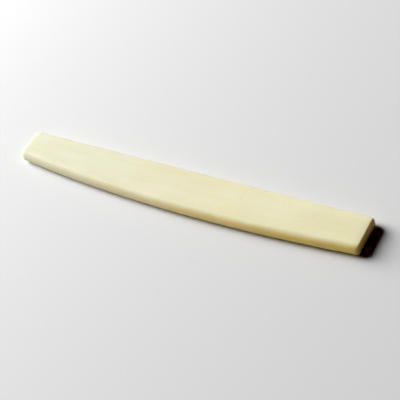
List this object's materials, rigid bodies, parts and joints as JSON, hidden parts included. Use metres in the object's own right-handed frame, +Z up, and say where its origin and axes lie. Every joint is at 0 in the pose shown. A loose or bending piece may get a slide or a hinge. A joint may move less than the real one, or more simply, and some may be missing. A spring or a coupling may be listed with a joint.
{
  "type": "bone folder",
  "caption": "Slim flat blade of ivory-coloured bone, one long side straight and one gently bowed, both rounded over, with square-cut ends, for creasing and burnishing paper.",
  "frame": {"origin": "in the plane of the broad face it lies on, under the centre of its bounding box", "axes": "+X along the blade, +Y across it towards the straight long side (the bowed side faces -Y), +Z up through the thickness"},
  "size_m": [0.15, 0.0176, 0.0044],
  "materials": {
    "bone": "satin"
  },
  "bodies": {
    "root": {"bone_blade": "bone"}
  },
  "joints": []
}
